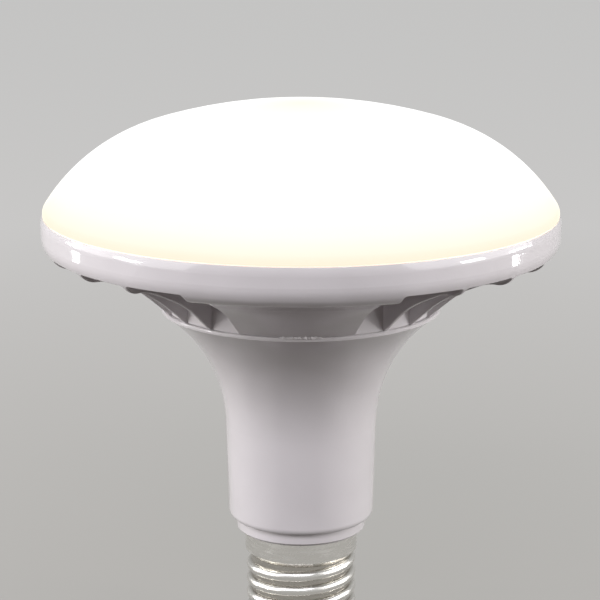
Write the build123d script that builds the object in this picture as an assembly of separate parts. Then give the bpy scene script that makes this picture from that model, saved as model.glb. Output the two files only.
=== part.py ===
from build123d import *
import os
from math import acos, asin, atan2, cos, degrees, hypot, radians, sin, sqrt, tan

# LED dish lamp: an opal dome on a finned dish, on a trumpet neck with a screw cap.
# Lengths are millimetres and angles degrees. The origin is the tip of the centre contact,
# +Z runs up the lamp's axis to the dome, and the middle of the smooth front panel faces -Y.

# Screw cap
cap_height = 27.0
shell_wall = 0.4
thread_pitch = 3.629
thread_root_radius = 12.05
thread_crest_radius = 13.1
thread_ridge_width = 2.6
thread_start = 6.0
cap_rim_height = 6.4
insulator_top = 9.0
insulator_cone_top = 6.0
shell_mouth_radius = 10.3
shell_mouth_height = 4.6
contact_radius = 4.8
contact_height = 1.0
contact_edge = 0.4
contact_land = 0.8

# Neck
spigot_wall = 1.2
stub_radius = 15.3
stub_height = 3.1
stub_bevel = 0.6
neck_length = 51.2
neck_foot_radius = 17.2
neck_foot_round = 1.6
neck_draft = 1.4
neck_wall = 2.0
neck_floor = 1.5
trumpet_radius = 35.0
collar_radius = 32.7
collar_edge = 0.8
lip_height = 0.6
lip_wall = 0.8
lip_round = 0.35

# Dish
rim_radius = 60.0
rim_round = 5.1
rim_crown = 4.5
rim_lean = 0.45
band_height = 4.35
band_wall = 2.0
flare_radius = 33.5
flare_slope = 41.3
brow_radius = 11.3
brow_slope = 24.0
brow_share = 0.56
tube_wall = 2.0
tube_step = 0.2
floor_wall = 2.0
floor_opening_radius = 20.0
deck_depth = 4.2
deck_wall = 2.0
fin_divisions = 24
fin_wall = 1.0
panel_count = 2
panel_divisions = 3
panel_wall = 2.0
pocket_lip_depth = 7.15
pocket_corner_share = 0.6
pocket_edge = 0.3

# Dome
dome_height = 25.2
dome_inset = 0.5
dome_wall = 2.0
dome_edge = 0.7
crown_radius = 122.0
flank_radius = 43.5
shoulder_radius = 2.4
skirt_length = 3.2
skirt_wall = 1.6
bead_height = 0.3
bead_width = 1.2

# Light engine
spreader_thickness = 1.6
board_thickness = 1.2
board_margin = 2.6
lead_hole_radius = 6.0
chip_length = 3.5
chip_width = 2.8
chip_height = 0.8
chip_ring_radius = 20.0
chip_ring_step = 14.0
chip_ring_count = 3
first_ring_count = 8
terminal_length = 8.0
terminal_width = 9.0
terminal_height = 4.0
terminal_distance = 9.0
terminal_grip = 4.0

# Screws
screw_radius = 1.5
screw_head_radius = 2.8
screw_head_height = 2.0
screw_slot_width = 0.8
screw_slot_depth = 0.9
screw_bite = 4.5
screw_tip_room = 0.5
boss_radius = 3.2
boss_floor = 1.0
board_screw_circle = 40.0
board_screw_fin_count = 2
neck_screw_circle = 23.5
neck_screw_count = 3
neck_boss_length = 9.0

# Driver
driver_width = 27.0
driver_height = 44.5
driver_thickness = 1.6
rail_depth = 1.5
rail_wall = 1.5
rail_height = 18.0
lead_radius = 0.6
lead_spacing = 4.4
lead_bend_radius = 4.0
lead_solder_length = 8.0
mains_solder_length = 4.0
neutral_lead_foot = 12.0
capacitor_radius = 5.0
capacitor_height = 14.5
capacitor_groove = 0.4
transformer_width = 14.0
transformer_depth = 10.0
transformer_height = 13.0
transformer_lift = 16.0
core_leg = 3.0
film_width = 13.0
film_depth = 5.0
film_height = 10.0
film_lift = 3.0
fuse_radius = 1.8
fuse_length = 9.0
fuse_lift = 3.0
fuse_offset = 9.0
bridge_width = 6.0
bridge_depth = 2.5
bridge_height = 5.0
bridge_lift = 16.0
chip_package_width = 4.0
chip_package_depth = 1.6
chip_package_height = 5.0
chip_package_lift = 24.0

# Clearances
moulding_clearance = 0.3
slide_clearance = 0.15
solder_clearance = 0.05
foot_clearance = 0.1
spreader_clearance = 0.5

# Levels up the axis, from the cap to the dome
stub_z = cap_height
foot_z = stub_z + stub_height
neck_floor_z = foot_z + neck_floor
seat_z = foot_z + neck_length
lip_z = seat_z + lip_height
flare_foot_z = lip_z + foot_clearance

# Radii that follow from the fits, from the cap to the dome
shell_rim_radius = thread_crest_radius + moulding_clearance
shell_bore_radius = thread_root_radius - shell_wall
spigot_radius = shell_rim_radius - shell_wall - slide_clearance
spigot_bore_radius = spigot_radius - spigot_wall
thread_top_z = cap_height - cap_rim_height
rim_step_z = thread_top_z + shell_rim_radius - thread_root_radius
spigot_z = rim_step_z + slide_clearance
lip_bore_radius = collar_radius - lip_wall
dish_spigot_radius = lip_bore_radius - moulding_clearance
tube_radius = dish_spigot_radius + tube_step
well_radius = tube_radius - tube_wall
pocket_radius = rim_radius - band_wall
skirt_radius = pocket_radius - moulding_clearance
skirt_bore_radius = skirt_radius - skirt_wall
dome_radius = rim_radius - dome_inset
spreader_radius = skirt_bore_radius - spreader_clearance
screw_hole_radius = screw_radius + slide_clearance
pilot_radius = screw_radius + solder_clearance

# Underside of the dish, from the collar out: a steep straight, the flare's arc, a gentle straight,
# the brow's arc to level, the rim's round and its upright band
steep = radians(flare_slope)
gentle = radians(brow_slope)
flare_foot_radius = collar_radius - lip_round
level_radius = rim_radius - rim_round
brow_foot_radius = level_radius - brow_radius * sin(gentle)
flare_span = flare_radius * (sin(steep) - sin(gentle))
straight_run = brow_foot_radius - flare_span - flare_foot_radius
flare_top_radius = brow_foot_radius - brow_share * straight_run
flare_start_z = flare_foot_z + (1 - brow_share) * straight_run * tan(steep)
flare_top_z = flare_start_z + flare_radius * (cos(gentle) - cos(steep))
brow_foot_z = flare_top_z + brow_share * straight_run * tan(gentle)
level_z = brow_foot_z + brow_radius * (1 - cos(gentle))
band_z = level_z + rim_round
rim_z = band_z + band_height
rim_crown_drop = sqrt(rim_lean * (2 * rim_crown - rim_lean))
deck_z = rim_z - deck_depth
deck_under_z = deck_z - deck_wall
pocket_lip_z = rim_z - pocket_lip_depth
pocket_foot_z = band_z - sqrt(rim_round ** 2 - (pocket_radius - level_radius) ** 2)
pocket_corner = pocket_corner_share * (pocket_lip_z - pocket_foot_z)
spreader_z = deck_z + spreader_thickness
board_z = spreader_z + board_thickness
wire_z = board_z + terminal_height / 2

# Driver board: its front face clears the line lead, which runs down the axis
driver_front_y = lead_radius + solder_clearance
driver_back_y = driver_front_y + driver_thickness
driver_top_z = neck_floor_z + driver_height

fin_pitch = 360 / fin_divisions
panel_angle = fin_pitch * panel_divisions
board_screw_angle = panel_angle / 2 + fin_pitch * board_screw_fin_count
board_screw_angles = [board_screw_angle, 180 - board_screw_angle,
                      180 + board_screw_angle, -board_screw_angle]
far = 1.2 * rim_radius
standing = (Align.CENTER, Align.CENTER, Align.MIN)
behind = (Align.CENTER, Align.MIN, Align.MIN)
in_front = (Align.CENTER, Align.MAX, Align.MIN)


def turned(lines):
    """Solid of revolution about the axis, from an outline in (radius, height)."""
    return revolve(Plane.XZ * make_face(lines), Axis.Z)


def polygon(*points):
    """Closed straight-sided outline through the points."""
    return Polyline(*points, close=True)


def rod(radius, start_z, end_z):
    """Upright round rod on the axis between two levels."""
    return Pos(0, 0, start_z) * Cylinder(radius, end_z - start_z, align=standing)


def placed(shape, radius, angles):
    """Copies of a shape at a radius, each at an angle round from the front."""
    return [Rot(0, 0, angle) * Pos(0, -radius, 0) * shape for angle in angles]


def even_angles(count):
    """Angles that divide the full turn evenly, from the front."""
    return [360 / count * k for k in range(count)]


def wedge(half_angle, inset):
    """Plan of a sector that faces the front, with both sides moved in by the inset."""
    apex = inset / sin(radians(half_angle))
    half_width = (far - apex) * tan(radians(half_angle))
    return make_face(polygon((0, -apex), (half_width, -far), (-half_width, -far)))


def prism(plan, start_z, end_z):
    """Plan pulled straight up between two levels."""
    return extrude(Pos(0, 0, start_z) * plan, amount=end_z - start_z, dir=(0, 0, 1))


def screw(under_head_z, length):
    """Slotted screw on the axis, driven down from the level under its head."""
    head = rod(screw_head_radius, under_head_z, under_head_z + screw_head_height)
    slot_level = Pos(0, 0, under_head_z + screw_head_height - screw_slot_depth)
    slot = slot_level * Box(3 * screw_head_radius, screw_slot_width, screw_head_height, align=standing)
    return head - slot + rod(screw_radius, under_head_z - length, under_head_z)


# Screw cap: rolled shell with a helical thread, insulator and end contact
def make_screw_shell():
    tube = turned(polygon(
        (shell_mouth_radius, shell_mouth_height), (shell_mouth_radius + shell_wall, shell_mouth_height),
        (thread_root_radius, insulator_cone_top), (thread_root_radius, thread_top_z),
        (shell_rim_radius, rim_step_z), (shell_rim_radius, cap_height),
        (shell_rim_radius - shell_wall, cap_height), (shell_rim_radius - shell_wall, rim_step_z),
        (shell_bore_radius, thread_top_z), (shell_bore_radius, insulator_cone_top)))
    half = thread_ridge_width / 2
    depth = thread_crest_radius - thread_root_radius
    helix_z = thread_start - half
    helix = Helix(thread_pitch, thread_top_z - helix_z, thread_root_radius, center=(0, 0, helix_z))
    across = Plane(origin=helix @ 0, x_dir=(1, 0, 0), z_dir=helix % 0)
    # The ridge is a rounded crest whose root lies halfway into the shell's wall
    crest = ThreePointArc((0, -half), (depth, 0), (0, half))
    root = Polyline((0, half), (-shell_wall / 2, half), (-shell_wall / 2, -half), (0, -half))
    ridge = sweep(across * make_face([crest, root]), path=helix, is_frenet=True)
    run_in = turned(polygon(
        (0, thread_start), (thread_root_radius, thread_start),
        (shell_rim_radius, thread_start + thread_pitch / 2),
        (shell_rim_radius, thread_top_z), (0, thread_top_z)))
    return tube + (ridge & run_in)


def make_cap_insulator():
    hole = lead_radius + moulding_clearance
    inside = shell_bore_radius - slide_clearance
    return turned(polygon(
        (hole, contact_height), (contact_radius + contact_land, contact_height),
        (shell_mouth_radius - slide_clearance, shell_mouth_height),
        (inside, insulator_cone_top), (inside, insulator_top), (hole, insulator_top)))


def make_centre_contact():
    return turned(polygon(
        (0, 0), (contact_radius - contact_edge, 0), (contact_radius, contact_edge),
        (contact_radius, contact_height), (0, contact_height)))


# Neck: one moulding from the cap's spigot, through the stub and the stem, to the collar's lip
def make_neck():
    draft = radians(neck_draft)
    along = Vector(sin(draft), cos(draft))
    across = Vector(cos(draft), -sin(draft))
    foot = Vector(neck_foot_radius, foot_z)
    collar_under = Vector(collar_radius, lip_z - collar_edge)
    # The trumpet's arc is tangent to the drafted stem and ends at the collar's lower edge
    reach = collar_under - foot - across * trumpet_radius
    forward = reach.dot(along)
    stem_length = forward - sqrt(forward ** 2 - reach.dot(reach) + trumpet_radius ** 2)
    stem_top = foot + along * stem_length
    centre = stem_top + across * trumpet_radius
    to_collar = collar_under - centre
    turn = 180 - neck_draft - degrees(atan2(to_collar.Y, to_collar.X))
    foot_arc = JernArc((neck_foot_radius - neck_foot_round, foot_z), (1, 0), neck_foot_round, 90 - neck_draft)
    trumpet = CenterArc(centre, trumpet_radius, 180 - neck_draft, -turn)
    lip_arc = JernArc((collar_radius, lip_z - lip_round), (0, 1), lip_round, 90)
    outside = turned([
        Polyline((0, spigot_z), (spigot_radius, spigot_z), (spigot_radius, stub_z),
                 (stub_radius - stub_bevel, stub_z), (stub_radius, stub_z + stub_bevel),
                 (stub_radius, foot_z), foot_arc @ 0),
        foot_arc,
        Line(foot_arc @ 1, stem_top),
        trumpet,
        Line(trumpet @ 1, lip_arc @ 0),
        lip_arc,
        Polyline(lip_arc @ 1, (0, lip_z), (0, spigot_z)),
    ])

    inner_radius = trumpet_radius + neck_wall
    inner_turn = degrees(asin((seat_z - centre.Y) / inner_radius)) - neck_draft
    inner_trumpet = CenterArc(centre, inner_radius, 180 - neck_draft, -inner_turn)
    inner_foot = (inner_trumpet @ 0).X - ((inner_trumpet @ 0).Y - neck_floor_z) * tan(draft)
    inside = turned([
        Polyline((0, spigot_z), (spigot_bore_radius, spigot_z),
                 (spigot_bore_radius, neck_floor_z), (inner_foot, neck_floor_z), inner_trumpet @ 0),
        inner_trumpet,
        Polyline(inner_trumpet @ 1, (lip_bore_radius, seat_z), (lip_bore_radius, lip_z), (0, lip_z),
                 (0, spigot_z)),
    ])

    angles = even_angles(neck_screw_count)
    bosses = placed(rod(boss_radius, seat_z - neck_boss_length, seat_z), neck_screw_circle, angles)
    pilot = rod(pilot_radius, seat_z - screw_bite - screw_tip_room, seat_z)
    pilots = placed(pilot, neck_screw_circle, angles)
    rail_x = driver_width / 2 - rail_depth
    rail_length = neck_foot_radius - neck_wall / 2 - rail_x
    rail = Box(rail_length, rail_wall, rail_height, align=(Align.MIN, Align.MIN, Align.MIN))
    front_rail_y = driver_front_y - slide_clearance - rail_wall
    back_rail_y = driver_back_y + slide_clearance
    rails = [Pos(x, y, neck_floor_z) * rail
             for x in (rail_x, -rail_x - rail_length) for y in (front_rail_y, back_rail_y)]
    posts = [outside & boss for boss in bosses]
    return outside - inside + posts + rails - pilots


# Dish: rim band, deck, centre tube and floor in one moulding, with fins between open pockets
def underside(inset):
    """Curves of the dish's underside from the flare to the rim's band, moved into the wall by an inset."""
    flare_centre = (flare_top_radius + flare_radius * sin(gentle), flare_top_z - flare_radius * cos(gentle))
    flare = CenterArc(flare_centre, flare_radius + inset, 90 + flare_slope, brow_slope - flare_slope)
    brow = CenterArc((level_radius, level_z - brow_radius), brow_radius + inset, 90 + brow_slope, -brow_slope)
    rim = CenterArc((level_radius, band_z), rim_round - inset, -90, 90)
    return [flare, Line(flare @ 1, brow @ 0), brow, rim]


def make_dish_housing():
    under = underside(0)
    # The rim's upper part leans in on an arc, so that light runs along it under the joint
    crown_turn = degrees(acos(1 - rim_lean / rim_crown))
    crown_arc = JernArc((rim_radius, rim_z - rim_crown_drop), (0, 1), rim_crown, crown_turn)
    body = turned([
        Polyline((floor_opening_radius, seat_z), (dish_spigot_radius, seat_z),
                 (dish_spigot_radius, flare_foot_z),
                 (flare_foot_radius, flare_foot_z), under[0] @ 0),
        *under,
        Line(under[-1] @ 1, crown_arc @ 0),
        crown_arc,
        Polyline(crown_arc @ 1, (pocket_radius, rim_z), (pocket_radius, deck_z), (well_radius, deck_z),
                 (well_radius, seat_z + floor_wall), (floor_opening_radius, seat_z + floor_wall),
                 (floor_opening_radius, seat_z)),
    ])

    gap = wedge(fin_pitch / 2, fin_wall / 2) - Circle(tube_radius)
    below_z = seat_z - lip_height
    recess = prism(gap & Circle(pocket_radius), below_z, deck_under_z)
    mouth = prism(gap, below_z, pocket_lip_z)
    mouth = fillet(mouth.edges().filter_by(GeomType.LINE).group_by(Axis.Z)[-1], pocket_corner)
    pockets_between_panels = fin_divisions // panel_count - panel_divisions
    pocket_angles = [start + panel_angle / 2 + fin_pitch * (k + 0.5)
                     for start in even_angles(panel_count) for k in range(pockets_between_panels)]
    pockets = placed(recess + mouth, 0, pocket_angles)
    # Fins and lips have rounded edges where the pockets break through the underside
    finned = body - pockets
    cut_edges = new_edges(body, *pockets, combined=finned)
    finned = fillet([edge for edge in cut_edges if edge.center().Z > flare_foot_z], pocket_edge)

    # Each smooth panel is cored out from above to an even wall
    over = underside(panel_wall)
    foot = over[0] @ 0
    rim_side = over[-1] @ 1
    core_foot_z = foot.Y - (foot.X - tube_radius) * tan(steep)
    core = turned([
        Line((tube_radius, core_foot_z), foot),
        *over,
        Polyline(rim_side, (rim_side.X, rim_z), (tube_radius, rim_z), (tube_radius, core_foot_z)),
    ])
    sector = prism(wedge(panel_angle / 2, panel_wall), seat_z, deck_z)
    cores = placed(core & sector, 0, even_angles(panel_count))

    tip_z = deck_z - screw_bite - screw_tip_room
    bosses = placed(rod(boss_radius, tip_z - boss_floor, deck_z), board_screw_circle, board_screw_angles)
    pilots = placed(rod(pilot_radius, tip_z, deck_z), board_screw_circle, board_screw_angles)
    floor_holes = placed(rod(screw_hole_radius, seat_z, seat_z + floor_wall),
                         neck_screw_circle, even_angles(neck_screw_count))
    return finned - cores + bosses - pilots - floor_holes


# Dome: crown, flank and shoulder arcs in one moulded skin, with a skirt that drops inside the rim
def make_diffuser():
    upper = crown_radius - flank_radius
    lower = flank_radius - shoulder_radius
    across = dome_radius - shoulder_radius
    down = crown_radius - dome_height + dome_edge
    span = hypot(across, down)
    lean = atan2(across, down)
    crown_turn = degrees(lean - acos((upper ** 2 + span ** 2 - lower ** 2) / (2 * upper * span)))
    flank_end = degrees(lean + acos((lower ** 2 + span ** 2 - upper ** 2) / (2 * lower * span)))
    crown_centre = (0, rim_z + dome_height - crown_radius)
    crown = CenterArc(crown_centre, crown_radius, 90, -crown_turn)
    flank = JernArc(crown @ 1, crown % 1, flank_radius, crown_turn - flank_end)
    shoulder = JernArc(flank @ 1, flank % 1, shoulder_radius, flank_end - 90)
    bottom_z = rim_z + bead_height
    skirt_z = rim_z - skirt_length
    outside = turned([
        crown,
        flank,
        shoulder,
        Polyline(shoulder @ 1, (dome_radius, bottom_z), (skirt_radius, bottom_z), (skirt_radius, skirt_z),
                 (0, skirt_z), crown @ 0),
    ])

    inner_crown = CenterArc(crown_centre, crown_radius - dome_wall, 90, -crown_turn)
    flank_centre = flank.arc_center
    inner_flank_radius = flank_radius - dome_wall
    inner_end = degrees(acos((skirt_bore_radius - flank_centre.X) / inner_flank_radius))
    inner_flank = CenterArc(flank_centre, inner_flank_radius, 90 - crown_turn, inner_end - 90 + crown_turn)
    inside = turned([
        inner_crown,
        inner_flank,
        Polyline(inner_flank @ 1, (skirt_bore_radius, skirt_z), (0, skirt_z), inner_crown @ 0),
    ])
    return outside - inside


def make_diffuser_bead():
    middle = (dome_radius + skirt_radius) / 2
    return (rod(middle + bead_width / 2, rim_z, rim_z + bead_height)
            - rod(middle - bead_width / 2, rim_z, rim_z + bead_height))


# Light engine: spreader disc, aluminium-core board, LEDs, terminal and screws
def make_disc(radius, start_z, end_z):
    holes = placed(rod(screw_hole_radius, start_z, end_z), board_screw_circle, board_screw_angles)
    return rod(radius, start_z, end_z) - rod(lead_hole_radius, start_z, end_z) - holes


def make_led_chips():
    chip = Pos(0, 0, board_z) * Box(chip_length, chip_width, chip_height, align=standing)
    chips = []
    for ring in range(chip_ring_count):
        count = first_ring_count * (ring + 1)
        chips += placed(chip, chip_ring_radius + chip_ring_step * ring, even_angles(count))
    return Compound(chips)


def make_board_screws():
    length = board_thickness + spreader_thickness + screw_bite
    return Compound(placed(screw(board_z, length), board_screw_circle, board_screw_angles))


def make_neck_screws():
    driven = screw(seat_z + floor_wall, floor_wall + screw_bite)
    return Compound(placed(driven, neck_screw_circle, even_angles(neck_screw_count)))


def make_terminal_block():
    body = Box(terminal_width, terminal_length, terminal_height, align=behind)
    block = Pos(0, terminal_distance, board_z) * body
    mouth = Plane.XZ * Circle(lead_radius + slide_clearance)
    bore = extrude(Pos(0, terminal_distance, wire_z) * mouth, amount=terminal_grip, dir=(0, 1, 0))
    return block - [Pos(x, 0, 0) * bore for x in (-lead_spacing / 2, lead_spacing / 2)]


# Driver: board in the neck's rails, its parts, and the four wires
def make_driver_board():
    return (Pos(0, driver_front_y, neck_floor_z)
            * Box(driver_width, driver_thickness, driver_height, align=behind))


def on_front(shape, lift, x=0.0):
    """Part seated on the board's front face at a height above its foot."""
    return Pos(x, driver_front_y, neck_floor_z + lift) * shape


def on_back(shape, lift):
    """Part seated on the board's back face at a height above its foot."""
    return Pos(0, driver_back_y, neck_floor_z + lift) * shape


def make_smoothing_capacitor():
    can = Cylinder(capacitor_radius, capacitor_height, align=standing)
    groove_z = capacitor_height - capacitor_radius / 2
    groove = Pos(0, 0, groove_z) * Torus(capacitor_radius, capacitor_groove)
    axis_y = -capacitor_radius - solder_clearance
    return on_front(Pos(0, axis_y, 0) * (can - groove), driver_height - capacitor_height)


def make_transformer():
    core = Box(transformer_width, transformer_depth, transformer_height, align=in_front)
    window_width = transformer_width - 2 * core_leg
    window_height = transformer_height - 2 * core_leg
    window = Pos(0, 0, core_leg) * Box(window_width, transformer_depth, window_height, align=in_front)
    coil_radius = transformer_width / 2 - core_leg - slide_clearance
    coil = Pos(0, -transformer_depth / 2, 0) * Cylinder(coil_radius, transformer_height, align=standing)
    return on_front(core - window + coil, transformer_lift)


def make_film_capacitor():
    return on_back(Box(film_width, film_depth, film_height, align=behind), film_lift)


def make_fuse_resistor():
    barrel = Pos(0, -fuse_radius - solder_clearance, 0) * Cylinder(fuse_radius, fuse_length, align=standing)
    return on_front(barrel, fuse_lift, -fuse_offset)


def make_bridge_rectifier():
    return on_back(Box(bridge_width, bridge_depth, bridge_height, align=behind), bridge_lift)


def make_driver_chip():
    package = Box(chip_package_width, chip_package_depth, chip_package_height, align=behind)
    return on_back(package, chip_package_lift)


def make_output_lead(x):
    y = driver_back_y + solder_clearance + lead_radius
    route = FilletPolyline(
        (x, y, driver_top_z - lead_solder_length), (x, y, wire_z),
        (x, terminal_distance + terminal_grip - slide_clearance, wire_z), radius=lead_bend_radius)
    end = Plane(origin=route @ 0, z_dir=route % 0)
    return sweep(end * Circle(lead_radius), path=route)


def make_line_lead():
    return rod(lead_radius, contact_height, neck_floor_z + mains_solder_length)


def make_neutral_lead():
    x = shell_bore_radius - slide_clearance - lead_radius
    return Pos(x, 0, 0) * rod(lead_radius, neutral_lead_foot, neck_floor_z + mains_solder_length)


pieces = {
    "screw_shell": make_screw_shell(),
    "cap_insulator": make_cap_insulator(),
    "centre_contact": make_centre_contact(),
    "neck": make_neck(),
    "dish_housing": make_dish_housing(),
    "diffuser": make_diffuser(),
    "diffuser_bead": make_diffuser_bead(),
    "heat_spreader": make_disc(spreader_radius, deck_z, spreader_z),
    "led_board": make_disc(spreader_radius - board_margin, spreader_z, board_z),
    "led_chips": make_led_chips(),
    "board_screws": make_board_screws(),
    "neck_screws": make_neck_screws(),
    "terminal_block": make_terminal_block(),
    "driver_board": make_driver_board(),
    "smoothing_capacitor": make_smoothing_capacitor(),
    "transformer": make_transformer(),
    "film_capacitor": make_film_capacitor(),
    "fuse_resistor": make_fuse_resistor(),
    "bridge_rectifier": make_bridge_rectifier(),
    "driver_chip": make_driver_chip(),
    "positive_lead": make_output_lead(lead_spacing / 2),
    "negative_lead": make_output_lead(-lead_spacing / 2),
    "line_lead": make_line_lead(),
    "neutral_lead": make_neutral_lead(),
}

os.makedirs("parts", exist_ok=True)
for name, piece in pieces.items():
    export_step(piece, os.path.join("parts", name + ".step"))
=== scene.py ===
import math
import random
import bmesh
import bpy
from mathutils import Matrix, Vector


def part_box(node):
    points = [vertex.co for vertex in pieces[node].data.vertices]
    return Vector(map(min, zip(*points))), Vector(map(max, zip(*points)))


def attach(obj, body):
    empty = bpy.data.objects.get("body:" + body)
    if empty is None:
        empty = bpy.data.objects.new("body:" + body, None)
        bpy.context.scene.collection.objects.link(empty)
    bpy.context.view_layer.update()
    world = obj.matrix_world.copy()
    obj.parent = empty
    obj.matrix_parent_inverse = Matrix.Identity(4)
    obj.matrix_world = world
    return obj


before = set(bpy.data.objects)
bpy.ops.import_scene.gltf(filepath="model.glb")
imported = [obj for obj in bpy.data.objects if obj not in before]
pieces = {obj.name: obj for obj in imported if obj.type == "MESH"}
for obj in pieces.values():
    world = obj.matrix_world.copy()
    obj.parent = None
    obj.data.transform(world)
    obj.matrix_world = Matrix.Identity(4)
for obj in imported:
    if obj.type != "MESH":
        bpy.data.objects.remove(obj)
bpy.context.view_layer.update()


def new_finish(name):
    """Node finish of one kind of surface, with its node list, links and main shader."""
    finish = bpy.data.materials.new(name)
    finish.use_nodes = True
    nodes = finish.node_tree.nodes
    return finish, nodes, finish.node_tree.links, nodes["Principled BSDF"]


def dress(name, finish):
    """Gives a piece of the frame its finish."""
    pieces[name].data.materials[0] = finish


def mottle(nodes, links, scale, low=0, high=1, detail=3.0, stretch=(1, 1, 1)):
    """Soft random patches in the piece's own space, with values from low to high."""
    usual_low = 0.3
    usual_high = 0.7
    place = nodes.new("ShaderNodeTexCoord")
    fit = nodes.new("ShaderNodeMapping")
    patches = nodes.new("ShaderNodeTexNoise")
    spread = nodes.new("ShaderNodeMapRange")
    fit.inputs["Scale"].default_value = stretch
    patches.inputs["Scale"].default_value = scale
    patches.inputs["Detail"].default_value = detail
    spread.inputs["From Min"].default_value = usual_low
    spread.inputs["From Max"].default_value = usual_high
    spread.inputs["To Min"].default_value = low
    spread.inputs["To Max"].default_value = high
    links.new(place.outputs["Object"], fit.inputs["Vector"])
    links.new(fit.outputs["Vector"], patches.inputs["Vector"])
    links.new(patches.outputs["Fac"], spread.inputs["Value"])
    return spread.outputs["Result"]


def tint(nodes, links, amount, first, second):
    """Colour that runs from the first to the second as the amount goes from 0 to 1."""
    blend = nodes.new("ShaderNodeMix")
    blend.data_type = "RGBA"
    blend.inputs["A"].default_value = (*first, 1)
    blend.inputs["B"].default_value = (*second, 1)
    links.new(amount, blend.inputs["Factor"])
    return blend.outputs["Result"]


def relief(nodes, links, height, depth, below=None):
    """Surface relief of a given depth in metres, on top of another relief where one is given."""
    bump = nodes.new("ShaderNodeBump")
    bump.inputs["Distance"].default_value = depth
    links.new(height, bump.inputs["Height"])
    if below is not None:
        links.new(below, bump.inputs["Normal"])
    return bump.outputs["Normal"]


def from_axis(nodes, links, start, end):
    """Distance from the lamp's axis in metres, as 0 at the start radius and 1 at the end one."""
    place = nodes.new("ShaderNodeTexCoord")
    flat = nodes.new("ShaderNodeVectorMath")
    reach = nodes.new("ShaderNodeVectorMath")
    share = nodes.new("ShaderNodeMapRange")
    flat.operation = "MULTIPLY"
    flat.inputs[1].default_value = (1, 1, 0)
    reach.operation = "LENGTH"
    share.inputs["From Min"].default_value = start
    share.inputs["From Max"].default_value = end
    links.new(place.outputs["Object"], flat.inputs[0])
    links.new(flat.outputs["Vector"], reach.inputs[0])
    links.new(reach.outputs["Value"], share.inputs["Value"])
    return share.outputs["Result"]


wear_start = 0.0122
wear_full = 0.0130
dull_nickel = (0.50, 0.48, 0.44)
rubbed_nickel = (0.78, 0.77, 0.74)
round_marks = (1, 1, 6)
fine_round_marks = (0.2, 0.2, 4)
nickel, nodes, links, shader = new_finish("nickel_plate")
worn = from_axis(nodes, links, wear_start, wear_full)
links.new(tint(nodes, links, worn, dull_nickel, rubbed_nickel), shader.inputs["Base Color"])
gloss = mottle(nodes, links, scale=260, low=0.16, high=0.34, stretch=round_marks)
links.new(gloss, shader.inputs["Roughness"])
drawn = mottle(nodes, links, scale=500, stretch=fine_round_marks)
links.new(relief(nodes, links, drawn, depth=0.00001), shader.inputs["Normal"])
shader.inputs["Metallic"].default_value = 1.0
dress("screw_shell", nickel)


# Cap insulator
# A cone of black glass, cast into the end of the shell while hot. It keeps the end contact apart
# from the screw thread, and its face has the dull swirls and pits of poured glass.
deep_black = (0.010, 0.010, 0.014)
grey_black = (0.045, 0.040, 0.055)
poured_glass, nodes, links, shader = new_finish("poured_black_glass")
swirl = mottle(nodes, links, scale=180, detail=6)
links.new(tint(nodes, links, swirl, deep_black, grey_black), shader.inputs["Base Color"])
links.new(mottle(nodes, links, scale=400, low=0.10, high=0.32), shader.inputs["Roughness"])
links.new(relief(nodes, links, swirl, depth=0.00006), shader.inputs["Normal"])
dress("cap_insulator", poured_glass)


# Centre contact
# A brass disc pressed into the glass. Its middle is tinned over with solder, where the end of the
# line lead comes through.
solder_edge = 0.0034
solder_full = 0.0018
brass = (0.72, 0.55, 0.28)
tin = (0.70, 0.70, 0.68)
tinned_brass, nodes, links, shader = new_finish("tinned_brass")
solder = from_axis(nodes, links, solder_edge, solder_full)
links.new(tint(nodes, links, solder, brass, tin), shader.inputs["Base Color"])
links.new(mottle(nodes, links, scale=600, low=0.18, high=0.42), shader.inputs["Roughness"])
lumps = mottle(nodes, links, scale=420)
links.new(relief(nodes, links, lumps, depth=0.00005), shader.inputs["Normal"])
shader.inputs["Metallic"].default_value = 1.0
dress("centre_contact", tinned_brass)


# Neck
# One white moulding of filled plastic, polished in the tool. Its walls draw in a little as they
# cool, so its gloss is gently wavy. It screws to the dish from inside and carries the cap.
def polished_moulding(name, pale, shade):
    """White plastic out of a polished tool: wavy from shrinkage, with a fine skin."""
    finish, nodes, links, shader = new_finish(name)
    cloud = mottle(nodes, links, scale=30)
    links.new(tint(nodes, links, cloud, shade, pale), shader.inputs["Base Color"])
    links.new(mottle(nodes, links, scale=90, low=0.05, high=0.09), shader.inputs["Roughness"])
    waves = relief(nodes, links, mottle(nodes, links, scale=75, detail=1), depth=0.00022)
    skin = relief(nodes, links, mottle(nodes, links, scale=1600), depth=0.000004, below=waves)
    links.new(skin, shader.inputs["Normal"])
    shader.inputs["IOR"].default_value = 1.5
    return finish


white_pale = (0.70, 0.672, 0.684)
white_shade = (0.67, 0.643, 0.655)
dress("neck", polished_moulding("white_neck_moulding", white_pale, white_shade))


# Driver board
# A green glass-fibre board that slides into rails in the neck, with the weave faint under its
# lacquer. The driver's parts are soldered to both sides of it.
dark_green = (0.015, 0.11, 0.04)
pale_green = (0.03, 0.18, 0.07)
across_weave = (3, 1, 1)
lacquered_board, nodes, links, shader = new_finish("lacquered_board")
weave = mottle(nodes, links, scale=900, detail=2, stretch=across_weave)
links.new(tint(nodes, links, weave, dark_green, pale_green), shader.inputs["Base Color"])
links.new(mottle(nodes, links, scale=200, low=0.25, high=0.42), shader.inputs["Roughness"])
links.new(relief(nodes, links, weave, depth=0.00002), shader.inputs["Normal"])
dress("driver_board", lacquered_board)


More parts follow.
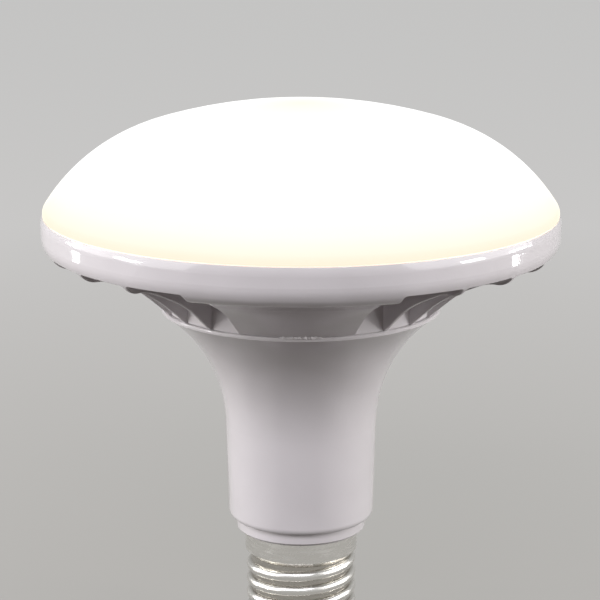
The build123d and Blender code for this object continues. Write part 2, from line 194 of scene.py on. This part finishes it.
# Parts on the driver board
# A sleeved can capacitor, a taped ferrite transformer, a boxed film capacitor, a coated fuse
# resistor and two moulded packages. Each is soldered to the board by its own legs.
def part_body(name, dark, pale, smooth, rough, grain, depth):
    """Moulded or coated electronic part: speckled, with an even fine grain."""
    finish, nodes, links, shader = new_finish(name)
    speckle = mottle(nodes, links, grain)
    links.new(tint(nodes, links, speckle, dark, pale), shader.inputs["Base Color"])
    links.new(mottle(nodes, links, grain / 3, smooth, rough), shader.inputs["Roughness"])
    links.new(relief(nodes, links, speckle, depth), shader.inputs["Normal"])
    return finish


dress("smoothing_capacitor",
      part_body("shrunk_sleeve", dark=(0.02, 0.025, 0.05), pale=(0.04, 0.05, 0.09),
                smooth=0.18, rough=0.3, grain=300, depth=0.00001))
dress("transformer",
      part_body("ferrite_and_tape", dark=(0.035, 0.032, 0.032), pale=(0.09, 0.085, 0.08),
                smooth=0.5, rough=0.75, grain=700, depth=0.00003))
dress("film_capacitor",
      part_body("film_case", dark=(0.55, 0.38, 0.02), pale=(0.68, 0.48, 0.04),
                smooth=0.2, rough=0.34, grain=500, depth=0.00001))
dress("fuse_resistor",
      part_body("resistor_coat", dark=(0.10, 0.22, 0.13), pale=(0.18, 0.32, 0.20),
                smooth=0.35, rough=0.5, grain=800, depth=0.00002))
moulded_package = part_body("moulded_package", dark=(0.012, 0.012, 0.013), pale=(0.03, 0.03, 0.032),
                            smooth=0.45, rough=0.6, grain=1200, depth=0.00001)
dress("bridge_rectifier", moulded_package)
dress("driver_chip", moulded_package)


# Leads
# Four stranded wires in soft coloured insulation: two from the cap up to the driver board and
# two from the board up to the terminal on the light board.
insulations = (
    ("line_lead", "brown_insulation", (0.12, 0.045, 0.02), (0.18, 0.07, 0.035)),
    ("neutral_lead", "blue_insulation", (0.02, 0.06, 0.28), (0.035, 0.09, 0.38)),
    ("positive_lead", "red_insulation", (0.40, 0.015, 0.012), (0.52, 0.03, 0.02)),
    ("negative_lead", "black_insulation", (0.012, 0.012, 0.012), (0.03, 0.03, 0.03)),
)
for lead, insulation, dark, pale in insulations:
    dress(lead, part_body(insulation, dark, pale, smooth=0.4, rough=0.55, grain=500, depth=0.00001))


# Dish housing
# The main white moulding: a rounded rim, a deck for the light board, and thin cooling fins between
# open pockets, with smooth panels at front and back. Same plastic and polish as the neck.
dress("dish_housing", polished_moulding("white_dish_moulding", white_pale, white_shade))


# Flash on the collar joint
# Crumbs of white plastic, squeezed out and torn along the front of the joint when the dish was pressed
# into the collar. They cling to the top of the collar's lip, and are coloured paler than the moulding
# as a painted highlight for their glints.
def add_crumb(mesh, chance, place, size):
    """Torn crumb: a small flattened ball with every corner pushed in or out."""
    along = 1.3
    thick = 0.8
    most_in = 0.6
    most_out = 1.2
    ball = bmesh.ops.create_icosphere(mesh, subdivisions=2, radius=size)
    for vertex in ball["verts"]:
        push = chance.uniform(most_in, most_out)
        corner = Vector((vertex.co.x * along, vertex.co.y * thick, vertex.co.z * thick))
        vertex.co = place + corner * push


lip_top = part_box("neck")[1][2]
flash_z = lip_top + 0.00006
flash_radius = 0.0327
flash_start = -6.0
flash_end = 9.0
crumb_count = 17
crumb_stray = 0.4
least_crumb = 0.00018
largest_crumb = 0.00044
# Both tones of the crumbs are paler than the moulding they tore from: a painted highlight for the
# glints they catch.
glint_pale_flash = (0.93, 0.91, 0.91)
glint_dim_flash = (0.78, 0.75, 0.76)
chance = random.Random(7)
crumbs = bmesh.new()
for step in range(crumb_count):
    share = (step + chance.uniform(-crumb_stray, crumb_stray)) / (crumb_count - 1)
    turn = math.radians(flash_start + (flash_end - flash_start) * share)
    place = Vector((math.sin(turn) * flash_radius, -math.cos(turn) * flash_radius, flash_z))
    add_crumb(crumbs, chance, place, chance.uniform(least_crumb, largest_crumb))
flash_mesh = bpy.data.meshes.new("joint_flash")
crumbs.to_mesh(flash_mesh)
crumbs.free()
flash = bpy.data.objects.new("joint_flash", flash_mesh)
bpy.context.scene.collection.objects.link(flash)
flash_mesh.materials.append(polished_moulding("torn_flash_painted_glint", glint_pale_flash, glint_dim_flash))
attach(flash, "root")


# Screws
# Slotted steel screws, zinc plated: three hold the dish to the neck and four hold the light
# board and its spreader to the dish.
dull_zinc = (0.50, 0.52, 0.55)
bright_zinc = (0.68, 0.69, 0.70)
zinc, nodes, links, shader = new_finish("zinc_plate")
bloom = mottle(nodes, links, scale=700)
links.new(tint(nodes, links, bloom, dull_zinc, bright_zinc), shader.inputs["Base Color"])
links.new(mottle(nodes, links, scale=500, low=0.22, high=0.4), shader.inputs["Roughness"])
shader.inputs["Metallic"].default_value = 1.0
dress("neck_screws", zinc)
dress("board_screws", zinc)


# Heat spreader
# A disc punched out of rolled aluminium sheet, laid on the deck of the dish under the light board.
# The rolling marks of the mill run across it in one direction.
along_rolling = (0.05, 2, 1)
dull_aluminium = (0.62, 0.63, 0.64)
bright_aluminium = (0.74, 0.75, 0.76)
rolled_aluminium, nodes, links, shader = new_finish("rolled_aluminium")
rolling = mottle(nodes, links, scale=300, stretch=along_rolling)
links.new(tint(nodes, links, rolling, dull_aluminium, bright_aluminium), shader.inputs["Base Color"])
gloss = mottle(nodes, links, scale=300, low=0.25, high=0.45, stretch=along_rolling)
links.new(gloss, shader.inputs["Roughness"])
shader.inputs["Metallic"].default_value = 1.0
dress("heat_spreader", rolled_aluminium)


# Light board, LEDs and terminal
# An aluminium-core board under white lacquer, with three rings of small yellow LEDs and a white
# push-in terminal. The board is screwed down through the spreader.
shaded_lacquer = (0.80, 0.80, 0.77)
pale_lacquer = (0.86, 0.86, 0.84)
white_lacquer, nodes, links, shader = new_finish("white_lacquer")
cloud = mottle(nodes, links, scale=120)
links.new(tint(nodes, links, cloud, shaded_lacquer, pale_lacquer), shader.inputs["Base Color"])
links.new(mottle(nodes, links, scale=300, low=0.25, high=0.4), shader.inputs["Roughness"])
dress("led_board", white_lacquer)
dress("led_chips",
      part_body("yellow_phosphor", dark=(0.82, 0.55, 0.05), pale=(0.90, 0.68, 0.12),
                smooth=0.35, rough=0.5, grain=1500, depth=0.00002))
dress("terminal_block",
      part_body("terminal_moulding", dark=(0.78, 0.78, 0.75), pale=(0.84, 0.84, 0.82),
                smooth=0.3, rough=0.45, grain=600, depth=0.00001))


# Sealant bead
# A thin run of tan silicone that seals the dome to the rim, wiped by hand and a little uneven in
# colour. Light from the dome's edge leaks into it and makes it glow.
deep_tan = (0.86, 0.74, 0.66)
pale_tan = (0.92, 0.82, 0.75)
leaked_light = (0.95, 0.73, 0.58)
silicone, nodes, links, shader = new_finish("tan_silicone")
run = mottle(nodes, links, scale=160)
links.new(tint(nodes, links, run, deep_tan, pale_tan), shader.inputs["Base Color"])
links.new(mottle(nodes, links, scale=300, low=0.4, high=0.6), shader.inputs["Roughness"])
shader.inputs["Emission Color"].default_value = (*leaked_light, 1)
shader.inputs["Emission Strength"].default_value = 0.55
dress("diffuser_bead", silicone)


# Diffuser dome
# Opal plastic, blow moulded and lit from inside, so that it shows hardly any gloss. It is even
# white over the rings of LEDs, a touch warmer over the bare middle, and cream towards its edge.
dome_reach = 0.060
warm_middle = (0.98, 0.93, 0.80)
even_white = (1.0, 1.0, 1.0)
cream_edge = (0.93, 0.83, 0.63)
glow_steps = (
    (0.15, (0.99, 0.97, 0.90)),
    (0.3, even_white),
    (0.86, even_white),
    (0.94, (0.995, 0.98, 0.91)),
    (0.98, (0.98, 0.925, 0.78)),
)
thin_milk = (0.06, 0.057, 0.05)
thick_milk = (0.08, 0.077, 0.068)
opal, nodes, links, shader = new_finish("lit_opal_dome")
glow = nodes.new("ShaderNodeValToRGB")
links.new(from_axis(nodes, links, 0, dome_reach), glow.inputs["Fac"])
stops = glow.color_ramp.elements
stops[0].position = 0.0
stops[0].color = (*warm_middle, 1)
stops[1].position = 1.0
stops[1].color = (*cream_edge, 1)
for position, colour in glow_steps:
    stop = stops.new(position)
    stop.color = (*colour, 1)
links.new(glow.outputs["Color"], shader.inputs["Emission Color"])
shader.inputs["Emission Strength"].default_value = 1.0
milk = mottle(nodes, links, scale=40)
links.new(tint(nodes, links, milk, thin_milk, thick_milk), shader.inputs["Base Color"])
links.new(mottle(nodes, links, scale=90, low=0.10, high=0.16), shader.inputs["Roughness"])
ripple = mottle(nodes, links, scale=60, detail=1)
links.new(relief(nodes, links, ripple, depth=0.00008), shader.inputs["Normal"])
shader.inputs["IOR"].default_value = 1.03
dress("diffuser", opal)


# Floor
# A plain pale grey sweep, not part of the lamp, with a painted shadow that makes it a little darker
# round the lamp. It looks pale but throws little light up under the dish, and is clear from below so
# that the cap can be looked at.
def seen_pale(nodes, links):
    """1 for the camera's rays and for those that gloss or glass sends on, and 0 for all others."""
    path = nodes.new("ShaderNodeLightPath")
    seen = path.outputs["Is Camera Ray"]
    for sent_on in ("Is Glossy Ray", "Is Transmission Ray"):
        either = nodes.new("ShaderNodeMath")
        either.operation = "MAXIMUM"
        links.new(seen, either.inputs[0])
        links.new(path.outputs[sent_on], either.inputs[1])
        seen = either.outputs["Value"]
    return seen


half_width = 4.0
floor_z = -0.0002
# Painted shadow round the lamp: darkest out to the first reach, gone by the second.
painted_shadow_reach = 0.05
painted_shadow_end = 0.5
painted_shadow_grey = (0.40, 0.40, 0.385)
far_grey = (0.54, 0.54, 0.535)
dull_paper = (0.075, 0.064, 0.06)
corners = [(-half_width, -half_width, floor_z), (half_width, -half_width, floor_z),
           (half_width, half_width, floor_z), (-half_width, half_width, floor_z)]
sweep = bpy.data.meshes.new("grey_sweep")
sweep.from_pydata(corners, [], [(0, 1, 2, 3)])
floor = bpy.data.objects.new("grey_sweep", sweep)
bpy.context.scene.collection.objects.link(floor)
paper, nodes, links, shader = new_finish("grey_paper")
nodes.remove(shader)
shade = nodes.new("ShaderNodeBsdfDiffuse")
shade.inputs["Color"].default_value = (*dull_paper, 1)
backdrop = nodes.new("ShaderNodeEmission")
# Painted shadow: the backdrop's grey is darker near the lamp's axis and pales outwards.
painted_shadow_fade = from_axis(nodes, links, painted_shadow_reach, painted_shadow_end)
links.new(tint(nodes, links, painted_shadow_fade, painted_shadow_grey, far_grey), backdrop.inputs["Color"])
links.new(seen_pale(nodes, links), backdrop.inputs["Strength"])
top = nodes.new("ShaderNodeAddShader")
links.new(shade.outputs["BSDF"], top.inputs[0])
links.new(backdrop.outputs["Emission"], top.inputs[1])
side = nodes.new("ShaderNodeNewGeometry")
clear = nodes.new("ShaderNodeBsdfTransparent")
either = nodes.new("ShaderNodeMixShader")
links.new(side.outputs["Backfacing"], either.inputs["Fac"])
links.new(top.outputs["Shader"], either.inputs[1])
links.new(clear.outputs["BSDF"], either.inputs[2])
links.new(either.outputs["Shader"], nodes["Material Output"].inputs["Surface"])
sweep.materials.append(paper)


# Studio light
# Small bright boxes at each side, for the glints on the rim, with one low on each side for its
# underside. Broad dim fills behind them, a wide box over the camera and a grey room do the rest.
def stand_at(thing, aim, turn, rise, away):
    """Places a light or camera by its turn from the front and its rise, and points it at the aim."""
    turn = math.radians(turn)
    rise = math.radians(rise)
    back = Vector((math.sin(turn) * math.cos(rise), -math.cos(turn) * math.cos(rise), math.sin(rise)))
    thing.location = aim + back * away
    thing.rotation_mode = "QUATERNION"
    thing.rotation_quaternion = (-back).to_track_quat("-Z", "Y")
    bpy.context.scene.collection.objects.link(thing)


plain = (1.0, 0.985, 0.985)
cool = (1.0, 0.98, 1.05)
light_aim = Vector((0, 0, 0.08))


def soft_box(name, turn, rise, away, width, height, brightness, colour=plain):
    """Soft box of a given size in metres and brightness of its face, hidden from the camera."""
    lamp = bpy.data.lights.new(name, "AREA")
    lamp.shape = "RECTANGLE"
    lamp.size = width
    lamp.size_y = height
    lamp.energy = brightness * math.pi * width * height
    lamp.color = colour
    box = bpy.data.objects.new(name, lamp)
    box.visible_camera = False
    stand_at(box, light_aim, turn, rise, away)


soft_box("left_box", turn=-73.5, rise=8, away=0.55, width=0.075, height=0.075, brightness=38.0)
soft_box("left_back_box", turn=-106, rise=4.5, away=0.42, width=0.075, height=0.04, brightness=15.0)
soft_box("left_low_box", turn=-106, rise=-8.5, away=0.42, width=0.075, height=0.032, brightness=15.0)
soft_box("right_box", turn=75.5, rise=8, away=0.55, width=0.09, height=0.075, brightness=30.0)
soft_box("right_back_box", turn=102, rise=5, away=0.42, width=0.08, height=0.035, brightness=15.0)
soft_box("right_low_box", turn=103, rise=-8.6, away=0.42, width=0.04, height=0.024, brightness=15.0)
soft_box("left_fill", turn=-80, rise=16, away=0.9, width=1.2, height=0.56, brightness=2.65)
soft_box("right_fill", turn=82, rise=16, away=0.9, width=1.1, height=0.56, brightness=2.8)
soft_box("front_box", turn=-13, rise=41, away=1.3, width=1.4, height=0.42, brightness=4.95, colour=cool)
room_grey = (0.125, 0.119, 0.113)
room = bpy.data.worlds.new("grey_room")
room.use_nodes = True
nodes = room.node_tree.nodes
links = room.node_tree.links
dim = nodes["Background"]
dim.inputs["Color"].default_value = (*room_grey, 1)
dim.inputs["Strength"].default_value = 1.0
pale = nodes.new("ShaderNodeBackground")
pale.inputs["Color"].default_value = (*far_grey, 1)
pale.inputs["Strength"].default_value = 1.0
surround = nodes.new("ShaderNodeMixShader")
links.new(seen_pale(nodes, links), surround.inputs["Fac"])
links.new(dim.outputs["Background"], surround.inputs[1])
links.new(pale.outputs["Background"], surround.inputs[2])
links.new(surround.outputs["Shader"], nodes["World Output"].inputs["Surface"])
bpy.context.scene.world = room
bpy.context.scene.view_settings.view_transform = "Standard"


# Camera
# The photograph's own view: a long lens a little above the rim, just right of the middle of the
# front panel, with the frame moved sideways by one pixel.
photo_width = 600
camera_aim = Vector((0, 0, 0.08254))
lens = bpy.data.cameras.new("long_lens")
lens.lens = 123.7
lens.sensor_width = 36
lens.shift_x = -1 / photo_width
camera = bpy.data.objects.new("camera", lens)
stand_at(camera, camera_aim, turn=1.75, rise=13.79, away=0.4824)
bpy.context.scene.camera = camera
